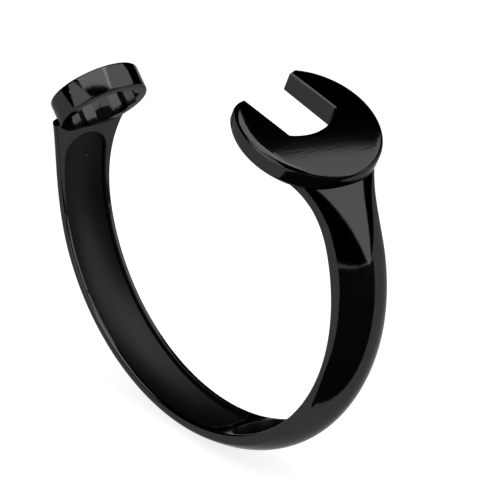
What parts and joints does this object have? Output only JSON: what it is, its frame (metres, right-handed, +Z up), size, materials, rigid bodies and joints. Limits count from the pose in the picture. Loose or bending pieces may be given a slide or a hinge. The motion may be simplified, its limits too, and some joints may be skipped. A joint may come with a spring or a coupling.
{
  "type": "spanner cuff bangle",
  "caption": "Open C-shaped cuff bangle formed as a bent combination spanner: a domed band with pockets on the wrist side, a slotted jaw head and a twelve-point ring head.",
  "frame": {"origin": "centre of the cuff's box across X and Y, at the lowest point of the round underside that it stands on", "axes": "+X towards the jaw head, across the cuff; +Y along the wrist, away from the side the slot is turned to; +Z up through the mouth"},
  "size_m": [0.0653, 0.0188, 0.0548],
  "materials": {
    "band_black": "mirror-polished steel with black ion plating, satin inside the pockets",
    "head_black": "mirror-polished steel with black ion plating"
  },
  "bodies": {
    "root": {"wrist_band": "band_black", "jaw_head": "head_black", "ring_head": "head_black"}
  },
  "joints": []
}
